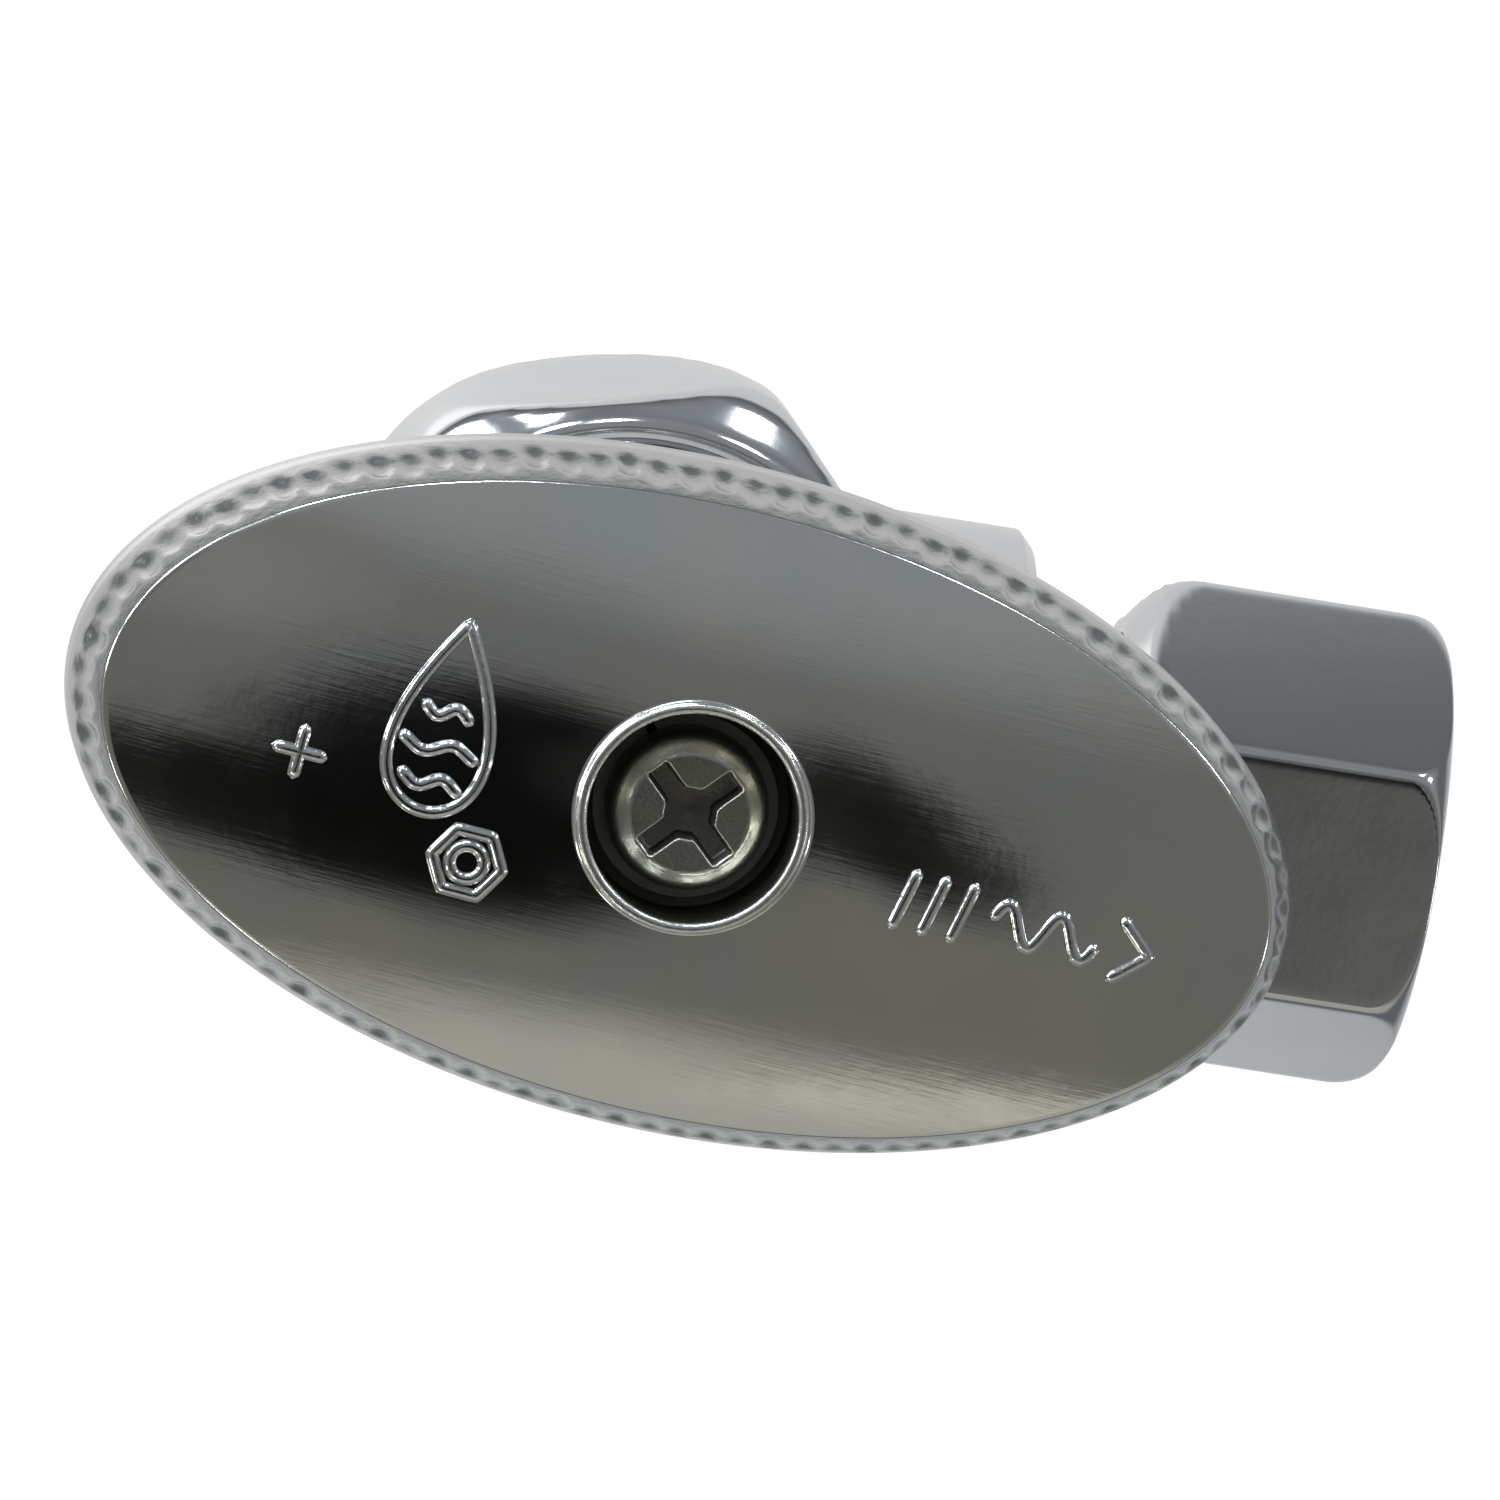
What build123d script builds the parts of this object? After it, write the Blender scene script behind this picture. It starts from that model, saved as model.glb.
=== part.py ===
from build123d import *
import os
from math import asin, degrees, sqrt

# Quarter-turn angle stop valve. Millimetres.
# Origin: centre of the inlet nut's rear face, where the wall tube enters.
# +Z runs along the inlet and stem axis to the handle, +X along the outlet axis.

# ---- driving dimensions ----
inlet_tube_diameter = 15.875    # 5/8 in tube
outlet_tube_diameter = 9.525    # 3/8 in tube
tube_clearance = 0.11           # radial room round a tube

inlet_thread_diameter = 20.64   # 13/16-18
inlet_thread_pitch = 25.4 / 18
outlet_thread_diameter = 14.29  # 9/16-24
outlet_thread_pitch = 25.4 / 24
thread_depth_share = 0.6        # thread depth as a share of its pitch
thread_clearance = 0.08         # radial room between mating threads
mouth_chamfer = 1.0             # cone in a spigot mouth that the ferrule seals on

inlet_nut_length = 18.0
inlet_nut_side = 1.85           # metal between thread and hexagon flat
inlet_nut_wall = 3.0            # end wall that pushes the ferrule
inlet_nut_angle = 13.0          # stored turn of the hexagon
inlet_nut_end_rim = 2.4         # flat of the hexagon to the flat ring on the outer end
inlet_nut_dome = 14.0           # height over which the outer end is domed
inlet_nut_corner_trim = 0.5     # the hexagon's corners are turned down by this much
outlet_nut_length = 13.4
outlet_nut_side = 1.586
outlet_nut_wall = 2.4
outlet_nut_angle = 33.0
outlet_nut_end_rim = 0.35
outlet_nut_dome = 2.6
outlet_nut_corner_trim = 0.05
nut_shoulder = 2.0              # large chamfer on the body side of each nut

inlet_ferrule_length = 6.0
outlet_ferrule_length = 3.8
ferrule_wall = 0.9
ferrule_edge = 0.1              # thickness left at a ferrule's tip
ferrule_clearance = 0.3

ball_radius = 5.6
port_radius = 2.9
seat_port_radius = 3.2
seat_wall = 2.0                 # seat thickness outside the ball
seat_clearance = 0.1            # seat to cavity wall
ball_clearance = 0.08           # running room round the ball
retainer_height = 4.0
retainer_setback = 1.9          # tube shoulder to retainer
retainer_port_radius = 3.8
retainer_key_width = 9.0        # hexagon key recess
retainer_key_depth = 1.6
retainer_ring_section = 0.8     # O-ring cross-section radius
ring_groove_room = 1.15         # groove width over O-ring width

body_wall = 2.7                 # forged wall round the ball cavity
barrel_drop = 10.5              # outlet line down to the barrel's lower edge
barrel_rise = 9.0               # outlet line up to the barrel's upper edge
barrel_chamfer = 0.8
collar_radius = 10.8            # body boss round the outlet
collar_reach = 3.8              # boss end beyond the barrel
collar_chamfer = 0.5
collar_to_nut = 1.2             # gap between the collar and the inlet nut
thread_shown = 4.4              # outlet thread left bare by the nut
outlet_stop_depth = 2.8         # collar end to the outlet tube's shoulder

stem_radius = 3.5
stem_clearance = 0.05
stem_flange_radius = 4.9
stem_flange_height = 0.8
stem_flange_gap = 0.15          # ball to flange
thrust_washer_height = 0.5
stem_roof = 1.8                 # body wall between the cavity and the packing
stem_ring_section = 0.45
tang_width = 2.0
tang_depth = 1.6
slot_clearance = 0.05
drive_flat_depth = 0.8          # cut of the square drive into the stem

packing_width = 1.65
packing_height = 1.5
gland_thread_height = 1.3
gland_clearance = 0.05
neck_wall = 1.6
packing_nut_head = 1.0
packing_nut_inset = 0.55        # hexagon flat inside the neck's edge

handle_length = 50.8
handle_width = 27.2
handle_angle = -5.3             # stored turn from the outlet line, partly closed
crown_height = 2.0              # rise of the face from its edge to the well
rim_width = 1.25                # bevel round the face, seen from above
rim_drop = 3.2                  # bevel measured down the side
skirt_height = 2.1              # plain edge below the bevel
shell_wall = 1.7
well_radius = 4.25              # counterbore that holds the screw head
well_lip_width = 0.45
well_lip_height = 0.12
screw_sink = 1.3                # screw head below the lip
web_height = 1.3                # metal between the washer and the drive socket
socket_depth = 2.4
boss_wall = 2.4
boss_gap = 0.3                  # boss above the packing nut
drive_clearance = 0.05
stop_gap = 1.1                  # stop ring outside the packing nut's corners
stop_wall = 1.4
stop_clearance = 0.3            # stop ring above the collar
stop_lug_width = 2.4
stop_lug_rise = 0.8             # lug above the neck
stop_play = 1.5                 # degrees left between lug and stop at each end
quarter_turn = 90.0

screw_radius = 2.0
screw_length = 6.0
screw_pitch = 0.7
screw_head_radius = 3.3
screw_head_height = 2.2
screw_top_radius = 2.5
screw_recess_span = 4.7
screw_recess_slot = 1.0
screw_recess_depth = 1.3
screw_recess_angle = 50.0
screw_clearance = 0.05
washer_radius = 3.75
washer_height = 0.5
washer_split = 0.4
washer_split_lean = 14.0        # degrees
washer_split_angle = 130.0

# ---- sizes that follow ----
inlet_bore = inlet_tube_diameter / 2 + tube_clearance
outlet_bore = outlet_tube_diameter / 2 + tube_clearance
inlet_nut_width = inlet_thread_diameter + 2 * inlet_nut_side
outlet_nut_width = outlet_thread_diameter + 2 * outlet_nut_side
outlet_axis_height = inlet_nut_length + collar_to_nut + collar_radius

cavity_radius = ball_radius + seat_wall + seat_clearance
ball_top = outlet_axis_height + ball_radius
stem_flange_bottom = ball_top + stem_flange_gap
stem_flange_top = stem_flange_bottom + stem_flange_height
cavity_top = stem_flange_top + stem_clearance + thrust_washer_height
lower_seat_bottom = outlet_axis_height - ball_radius - seat_wall
retainer_bottom = lower_seat_bottom - retainer_height
inlet_tube_stop = retainer_bottom - retainer_setback
inlet_spigot_start = inlet_nut_wall + 2 * ferrule_clearance + inlet_ferrule_length - mouth_chamfer

barrel_radius = cavity_radius + body_wall
barrel_bottom = outlet_axis_height - barrel_drop
barrel_top = outlet_axis_height + barrel_rise
collar_end = barrel_radius + collar_reach
outlet_nut_start = collar_end + thread_shown
outlet_nut_end = outlet_nut_start + outlet_nut_length
outlet_tube_stop = collar_end + outlet_stop_depth
outlet_spigot_end = (
    outlet_nut_end - outlet_nut_wall - 2 * ferrule_clearance - outlet_ferrule_length + mouth_chamfer
)

stem_bore = stem_radius + stem_clearance
packing_radius = stem_bore + packing_width
packing_bottom = cavity_top + stem_roof
gland_foot = packing_bottom + packing_height
neck_radius = packing_radius + neck_wall
neck_top = gland_foot + gland_thread_height
packing_nut_width = 2 * (neck_radius - packing_nut_inset)
packing_nut_top = neck_top + packing_nut_head
drive_width = 2 * (stem_radius - drive_flat_depth)

boss_radius = stem_radius + boss_wall
boss_bottom = packing_nut_top + boss_gap
socket_top = boss_bottom + socket_depth
well_floor_height = socket_top + web_height
stem_top = socket_top - drive_clearance
screw_seat = well_floor_height + washer_height
screw_top = screw_seat + screw_head_height
screw_tip = screw_seat - screw_length
washer_bore = screw_radius + 3 * screw_clearance
handle_top_height = screw_top + screw_sink
handle_edge_height = handle_top_height - well_lip_height - crown_height
rim_bottom = handle_edge_height - rim_drop
handle_bottom = rim_bottom - skirt_height
shell_inner_top = handle_edge_height - shell_wall
stop_inner_radius = packing_nut_width / sqrt(3) + stop_gap
stop_outer_radius = stop_inner_radius + stop_wall
stop_bottom = outlet_axis_height + collar_radius + stop_clearance
stop_lug_top = neck_top + stop_lug_rise


def turned(points):
    """Solid of revolution about Z from (radius, height) points."""
    outline = Polyline(*points, close=True)
    return revolve(make_face(Plane.XZ * outline), Axis.Z)


def ring(outer, inner, bottom, top):
    return turned([(inner, bottom), (outer, bottom), (outer, top), (inner, top)])


def rod(radius, bottom, top):
    return Pos(0, 0, (bottom + top) / 2) * Cylinder(radius, top - bottom)


def o_ring(mid_radius, section, height):
    return Pos(0, 0, height) * Torus(mid_radius, section)


def along_outlet(shape):
    """Lays a shape built on Z along the outlet axis."""
    return Pos(0, 0, outlet_axis_height) * Rot(0, 90, 0) * shape


def hexagon_bar(width, bottom, top):
    flats = RegularPolygon(width / 2, 6, major_radius=False)
    return Pos(0, 0, bottom) * extrude(flats, top - bottom)


def thread_ridges(crest, root, pitch, bottom, top):
    """Points up the side of an outside thread, as (radius, height)."""
    count = int((top - bottom) / pitch)
    points = [(root, bottom)]
    for turn in range(count):
        foot = bottom + turn * pitch
        points.append((root, foot + 0.12 * pitch))
        points.append((crest, foot + 0.44 * pitch))
        points.append((crest, foot + 0.56 * pitch))
        points.append((root, foot + 0.88 * pitch))
    points.append((root, top))
    return points


def outside_thread(diameter, pitch, bottom, top):
    crest = diameter / 2
    root = crest - thread_depth_share * pitch
    return turned([(0, bottom)] + thread_ridges(crest, root, pitch, bottom, top) + [(0, top)])


def inside_thread(diameter, pitch, bottom, top):
    """Cutter for a nut's thread: plain bore clear of the mating crests, with grooves."""
    bore = diameter / 2 + thread_clearance
    groove = bore + thread_depth_share * pitch / 2
    return turned([(0, bottom)] + thread_ridges(groove, bore, pitch, bottom, top) + [(0, top)])


# ---- fixed body ----
def valve_body():
    barrel = turned([
        (0, barrel_bottom), (barrel_radius - barrel_chamfer, barrel_bottom),
        (barrel_radius, barrel_bottom + barrel_chamfer), (barrel_radius, barrel_top - barrel_chamfer),
        (barrel_radius - barrel_chamfer, barrel_top), (0, barrel_top),
    ])
    collar = along_outlet(turned([
        (0, 0), (collar_radius, 0), (collar_radius, collar_end - collar_chamfer),
        (collar_radius - collar_chamfer, collar_end), (0, collar_end),
    ]))
    neck = rod(neck_radius, barrel_top - barrel_chamfer, neck_top)
    lug = Pos(-stop_outer_radius / 2, 0, (barrel_top - 1 + stop_lug_top) / 2) * Box(
        stop_outer_radius, stop_lug_width, stop_lug_top - barrel_top + 1
    )
    lug = lug & rod(stop_outer_radius - 0.2, barrel_top - 1, stop_lug_top)
    lug = lug - rod(stop_inner_radius - stop_gap + 0.3, neck_top, stop_lug_top + 1)
    inlet_spigot = outside_thread(
        inlet_thread_diameter, inlet_thread_pitch, inlet_spigot_start, barrel_bottom
    )
    outlet_spigot = along_outlet(outside_thread(
        outlet_thread_diameter, outlet_thread_pitch, collar_end, outlet_spigot_end
    ))
    solid = barrel + collar + neck + lug + inlet_spigot + outlet_spigot
    water_way = turned([
        (0, inlet_spigot_start - 1), (inlet_bore + mouth_chamfer + 1, inlet_spigot_start - 1),
        (inlet_bore, inlet_spigot_start + mouth_chamfer), (inlet_bore, inlet_tube_stop),
        (cavity_radius, inlet_tube_stop), (cavity_radius, cavity_top), (0, cavity_top),
    ])
    stem_way = turned([
        (0, cavity_top - 1), (stem_bore, cavity_top - 1), (stem_bore, packing_bottom),
        (packing_radius, packing_bottom), (packing_radius, neck_top + 1), (0, neck_top + 1),
    ])
    outlet_way = along_outlet(turned([
        (0, 0), (seat_port_radius, 0), (seat_port_radius, outlet_tube_stop),
        (outlet_bore, outlet_tube_stop), (outlet_bore, outlet_spigot_end - mouth_chamfer),
        (outlet_bore + mouth_chamfer + 1, outlet_spigot_end + 1), (0, outlet_spigot_end + 1),
    ]))
    return solid - water_way - stem_way - outlet_way


def seat_half(bottom, top):
    """One half of the cavity-filling seat, with the outlet window and the ball's hollow."""
    shell = rod(cavity_radius - seat_clearance, bottom, top)
    hollow = Pos(0, 0, outlet_axis_height) * Sphere(ball_radius + ball_clearance)
    window = along_outlet(rod(seat_port_radius, 0, cavity_radius + 1))
    return shell - hollow - window


def lower_seat():
    return seat_half(lower_seat_bottom, outlet_axis_height) - rod(
        seat_port_radius, lower_seat_bottom - 1, outlet_axis_height
    )


def upper_seat():
    flange_room = rod(stem_flange_radius + 4 * stem_clearance, outlet_axis_height, cavity_top + 1)
    return seat_half(outlet_axis_height, cavity_top) - flange_room


def retainer_groove():
    middle = retainer_bottom + retainer_height / 2
    half = retainer_ring_section * ring_groove_room
    outer = cavity_radius - seat_clearance
    return ring(outer + 1, outer - 2 * retainer_ring_section, middle - half, middle + half)


def seat_retainer():
    body = rod(cavity_radius - seat_clearance, retainer_bottom, lower_seat_bottom)
    key = hexagon_bar(retainer_key_width, retainer_bottom - 1, retainer_bottom + retainer_key_depth)
    port = rod(retainer_port_radius, retainer_bottom - 1, lower_seat_bottom + 1)
    return body - port - key - retainer_groove()


def retainer_o_ring():
    middle = retainer_bottom + retainer_height / 2
    outer = cavity_radius - seat_clearance
    return o_ring(outer - retainer_ring_section, retainer_ring_section, middle)


def thrust_washer():
    bottom = cavity_top - thrust_washer_height
    return ring(stem_flange_radius, stem_bore, bottom, cavity_top)


def stem_packing():
    return ring(packing_radius - gland_clearance, stem_bore, packing_bottom, gland_foot)


def packing_nut():
    barrel = outside_thread(2 * (packing_radius - gland_clearance), screw_pitch, gland_foot, neck_top)
    corner = packing_nut_width / sqrt(3)
    dome = turned([
        (0, neck_top), (corner, neck_top), (corner, packing_nut_top - 0.5),
        (corner - 0.8, packing_nut_top), (0, packing_nut_top),
    ])
    head = hexagon_bar(packing_nut_width, neck_top, packing_nut_top) & dome
    return barrel + head - rod(stem_bore, gland_foot - 1, packing_nut_top + 1)


# ---- compression nuts and ferrules ----
def compression_nut(width, length, wall, end_rim, dome, trim, tube_bore, thread_diameter, thread_pitch):
    """Nut built on Z: outer end at 0, body side at length."""
    corner = width / sqrt(3) - trim
    end_radius = width / 2 - end_rim
    domed_end = []
    for share in (0.0, 0.03, 0.08, 0.16, 0.28, 0.45, 0.68, 1.0):
        bulge = sqrt(1 - (1 - share)**2)
        domed_end.append((end_radius + (corner - end_radius) * bulge, share * dome))
    form = turned([(0, 0)] + domed_end + [
        (corner, length - nut_shoulder - 0.6), (corner - 0.5, length - nut_shoulder + 0.5),
        (corner - nut_shoulder, length - 0.3), (corner - nut_shoulder - 0.4, length), (0, length),
    ])
    bar = hexagon_bar(width, 0, length) & form
    thread_bore = thread_diameter / 2 + thread_clearance
    cone_top = wall + thread_bore - tube_bore - 0.8
    cone = turned([
        (0, wall - 0.4), (tube_bore + 0.4, wall - 0.4), (tube_bore + 0.4, wall),
        (thread_bore - 0.4, cone_top), (thread_bore, cone_top + 0.01), (thread_bore, cone_top + 0.5),
        (0, cone_top + 0.5),
    ])
    thread = inside_thread(thread_diameter, thread_pitch, cone_top + 0.4, length + 1)
    return bar - rod(tube_bore, -1, wall + 1) - cone - thread


def ferrule(tube_bore, bottom, top):
    """Barrel-shaped sleeve that the nut squeezes onto the tube."""
    outer = tube_bore + ferrule_wall
    slim = tube_bore + ferrule_edge
    taper = outer - slim
    return turned([
        (tube_bore, bottom), (slim, bottom), (outer, bottom + 1.5 * taper),
        (outer, top - taper), (slim, top), (tube_bore, top),
    ])


def inlet_nut():
    return Rot(0, 0, inlet_nut_angle) * compression_nut(
        inlet_nut_width, inlet_nut_length, inlet_nut_wall,
        inlet_nut_end_rim, inlet_nut_dome, inlet_nut_corner_trim,
        inlet_bore, inlet_thread_diameter, inlet_thread_pitch,
    )


def inlet_ferrule():
    bottom = inlet_nut_wall + ferrule_clearance
    return ferrule(inlet_bore, bottom, bottom + inlet_ferrule_length)


def outlet_nut():
    blank = compression_nut(
        outlet_nut_width, outlet_nut_length, outlet_nut_wall,
        outlet_nut_end_rim, outlet_nut_dome, outlet_nut_corner_trim,
        outlet_bore, outlet_thread_diameter, outlet_thread_pitch,
    )
    turned_round = Pos(0, 0, outlet_nut_end) * Rot(180, 0, 0) * blank
    return along_outlet(Rot(0, 0, outlet_nut_angle) * turned_round)


def outlet_ferrule():
    bottom = outlet_spigot_end - mouth_chamfer + ferrule_clearance
    return along_outlet(ferrule(outlet_bore, bottom, bottom + outlet_ferrule_length))


# ---- turning group, built in line with the outlet and then turned to its stored angle ----
def ball():
    sphere = Pos(0, 0, outlet_axis_height) * Sphere(ball_radius)
    slot_height = tang_depth + slot_clearance
    slot = Pos(0, 0, ball_top - slot_height / 2) * Box(
        tang_width + 2 * slot_clearance, 3 * ball_radius, slot_height
    )
    inlet_port = rod(port_radius, outlet_axis_height - ball_radius - 1, outlet_axis_height)
    outlet_port = along_outlet(rod(port_radius, 0, ball_radius + 1))
    elbow = Pos(0, 0, outlet_axis_height) * Sphere(port_radius)
    return sphere - slot - inlet_port - outlet_port - elbow


def stem():
    shaft = rod(stem_radius, stem_flange_top, packing_nut_top)
    flange = rod(stem_flange_radius, stem_flange_bottom, stem_flange_top)
    drive = Pos(0, 0, (packing_nut_top + stem_top) / 2) * Box(
        drive_width, drive_width, stem_top - packing_nut_top
    )
    drive = drive & rod(stem_radius, packing_nut_top, stem_top)
    tang_bottom = ball_top - tang_depth
    tang = Pos(0, 0, (tang_bottom + stem_flange_bottom) / 2) * Box(
        tang_width, 2 * stem_radius, stem_flange_bottom - tang_bottom
    )
    groove_half = stem_ring_section * ring_groove_room
    groove = ring(
        stem_radius + 1, stem_radius - 2 * stem_ring_section,
        stem_ring_height() - groove_half, stem_ring_height() + groove_half,
    )
    screw_hole = rod(screw_radius + screw_clearance, screw_tip - 0.5, stem_top + 1)
    return shaft + flange + drive + tang - groove - screw_hole


def stem_ring_height():
    """The O-ring sits half way up the wall between the cavity and the packing."""
    return (cavity_top + packing_bottom) / 2


def stem_o_ring():
    return o_ring(stem_radius - stem_ring_section, stem_ring_section, stem_ring_height())


def oval(height, inset=0.0, share=1.0):
    """Ellipse of the handle's outline, moved in by inset and then scaled by share."""
    half_length = (handle_length / 2 - inset) * share
    half_width = (handle_width / 2 - inset) * share
    return Pos(0, 0, height) * Ellipse(half_length, half_width)


def handle_shell():
    skirt = extrude(oval(handle_bottom), rim_bottom - handle_bottom, dir=(0, 0, 1))
    band = loft([oval(rim_bottom), oval(handle_edge_height, rim_width)])
    sections = []
    for share in (1.0, 0.8, 0.6, 0.4, 0.2):
        rise = crown_height * (1 - share**2)
        sections.append(oval(handle_edge_height + rise, rim_width, share))
    crown = loft(sections)
    lip = rod(well_radius + well_lip_width, handle_edge_height, handle_top_height)
    hollow = extrude(oval(handle_bottom - 1, shell_wall), shell_inner_top - handle_bottom + 1, dir=(0, 0, 1))
    return skirt + band + crown + lip - hollow


def stop_ring():
    """Part ring under the handle whose two ends meet the body's lug a quarter turn apart."""
    half_lug = degrees(asin(stop_lug_width / 2 / stop_inner_radius))
    first = 180 - half_lug - stop_play
    last = 180 + quarter_turn + half_lug + stop_play
    reach = Vector(2 * stop_outer_radius, 0, 0)
    corners = [(0, 0)]
    for step in range(5):
        corner = reach.rotate(Axis.Z, first + (last - first) * step / 4)
        corners.append((corner.X, corner.Y))
    sector = Pos(0, 0, stop_bottom - 1) * make_face(Polyline(*corners, close=True))
    gap = extrude(sector, stop_lug_top - stop_bottom + 1.5, dir=(0, 0, 1))
    return ring(stop_outer_radius, stop_inner_radius, stop_bottom, shell_inner_top) - gap


def handle():
    boss = rod(boss_radius, boss_bottom, shell_inner_top + 0.5)
    socket_width = drive_width + 2 * drive_clearance
    socket = Pos(0, 0, (boss_bottom - 1 + socket_top) / 2) * Box(
        socket_width, socket_width, socket_top - boss_bottom + 1
    )
    socket = socket & rod(stem_radius + drive_clearance, boss_bottom - 1, socket_top)
    well = rod(well_radius, well_floor_height, handle_top_height + 1)
    screw_hole = rod(washer_bore, socket_top - 1, well_floor_height + 1)
    return handle_shell() + boss + stop_ring() - socket - well - screw_hole


def handle_screw():
    """Cross-recess screw with a rounded shoulder and a flat top."""
    head = turned([
        (0, screw_seat), (screw_head_radius, screw_seat), (screw_head_radius, screw_seat + 0.9),
        (screw_head_radius - 0.25, screw_seat + 1.35), (screw_top_radius, screw_top - 0.12),
        (screw_top_radius - 0.2, screw_top), (0, screw_top),
    ])
    shank = outside_thread(2 * screw_radius, screw_pitch, screw_tip, screw_seat)
    floor = screw_top - screw_recess_depth
    arm = Pos(0, 0, floor + screw_recess_depth) * Box(
        screw_recess_span, screw_recess_slot, 2 * screw_recess_depth
    )
    cross = Rot(0, 0, screw_recess_angle) * (arm + Rot(0, 0, 90) * arm)
    taper = turned([
        (0, floor), (screw_recess_slot, floor), (screw_recess_span / 2, screw_top),
        (screw_recess_span / 2, screw_top + 1), (0, screw_top + 1),
    ])
    return head + shank - (cross & taper)


def lock_washer():
    """Split washer under the screw head."""
    flat = ring(washer_radius, washer_bore, well_floor_height, screw_seat)
    split = Pos(washer_radius, 0, (well_floor_height + screw_seat) / 2) * Rot(washer_split_lean, 0, 0) * Box(
        2 * (washer_radius - 0.5), washer_split, 4 * washer_height
    )
    return flat - Rot(0, 0, washer_split_angle) * split


fixed_parts = {
    "valve_body": valve_body(), "lower_ball_seat": lower_seat(), "upper_ball_seat": upper_seat(),
    "seat_retainer": seat_retainer(), "retainer_o_ring": retainer_o_ring(),
    "stem_thrust_washer": thrust_washer(), "stem_packing": stem_packing(), "packing_nut": packing_nut(),
    "inlet_nut": inlet_nut(), "inlet_ferrule": inlet_ferrule(),
    "outlet_nut": outlet_nut(), "outlet_ferrule": outlet_ferrule(),
}
turning_parts = {
    "ball": ball(), "stem": stem(), "stem_o_ring": stem_o_ring(), "handle": handle(),
    "handle_screw": handle_screw(), "handle_lock_washer": lock_washer(),
}

os.makedirs("parts", exist_ok=True)
for name, shape in fixed_parts.items():
    export_step(shape, f"parts/{name}.step")
for name, shape in turning_parts.items():
    export_step(Rot(0, 0, handle_angle) * shape, f"parts/{name}.step")
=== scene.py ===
from math import atan2, cos, exp, log, pi, radians, sin, sqrt

import bmesh
import bpy
from mathutils import Matrix, Vector


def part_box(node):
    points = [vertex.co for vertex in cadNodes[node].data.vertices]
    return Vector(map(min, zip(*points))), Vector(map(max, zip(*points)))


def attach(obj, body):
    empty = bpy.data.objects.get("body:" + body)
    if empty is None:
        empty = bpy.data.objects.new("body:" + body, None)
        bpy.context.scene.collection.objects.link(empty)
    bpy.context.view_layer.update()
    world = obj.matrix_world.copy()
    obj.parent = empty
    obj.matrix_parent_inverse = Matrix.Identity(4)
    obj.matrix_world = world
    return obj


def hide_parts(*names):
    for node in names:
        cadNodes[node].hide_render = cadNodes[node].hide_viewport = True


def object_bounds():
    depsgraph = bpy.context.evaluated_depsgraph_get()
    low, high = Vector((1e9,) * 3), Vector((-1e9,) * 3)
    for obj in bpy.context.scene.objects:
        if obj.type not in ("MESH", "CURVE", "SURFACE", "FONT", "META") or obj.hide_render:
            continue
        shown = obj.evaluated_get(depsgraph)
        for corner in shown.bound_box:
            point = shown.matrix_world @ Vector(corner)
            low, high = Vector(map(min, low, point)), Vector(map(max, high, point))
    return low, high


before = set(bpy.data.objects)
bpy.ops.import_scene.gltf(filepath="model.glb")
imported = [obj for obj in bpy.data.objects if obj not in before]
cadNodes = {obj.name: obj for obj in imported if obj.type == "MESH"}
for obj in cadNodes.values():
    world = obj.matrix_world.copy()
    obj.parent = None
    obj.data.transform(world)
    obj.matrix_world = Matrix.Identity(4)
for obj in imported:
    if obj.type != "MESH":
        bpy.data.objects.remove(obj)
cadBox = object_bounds()
mm = 0.001
print("frame loaded with", len(cadNodes), "nodes")


class Sock:
    # one output socket of a material or the room; its operators add Math nodes
    def __init__(self, tree, out):
        self.tree = tree
        self.out = out

    def math(self, operation, other=None, flip=False):
        pair = [self, other]
        if flip:
            pair.reverse()
        values = {0: pair[0]}
        if other is not None:
            values[1] = pair[1]
        return self.tree.make("ShaderNodeMath", {"operation": operation}, values)

    def __add__(self, other):
        return self.math("ADD", other)

    def __radd__(self, other):
        return self.math("ADD", other, True)

    def __sub__(self, other):
        return self.math("SUBTRACT", other)

    def __rsub__(self, other):
        return self.math("SUBTRACT", other, True)

    def __mul__(self, other):
        return self.math("MULTIPLY", other)

    def __rmul__(self, other):
        return self.math("MULTIPLY", other, True)

    def __pow__(self, other):
        return self.math("POWER", other)

    def __truediv__(self, other):
        return self.math("DIVIDE", other)

    def __rtruediv__(self, other):
        return self.math("DIVIDE", other, True)


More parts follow.
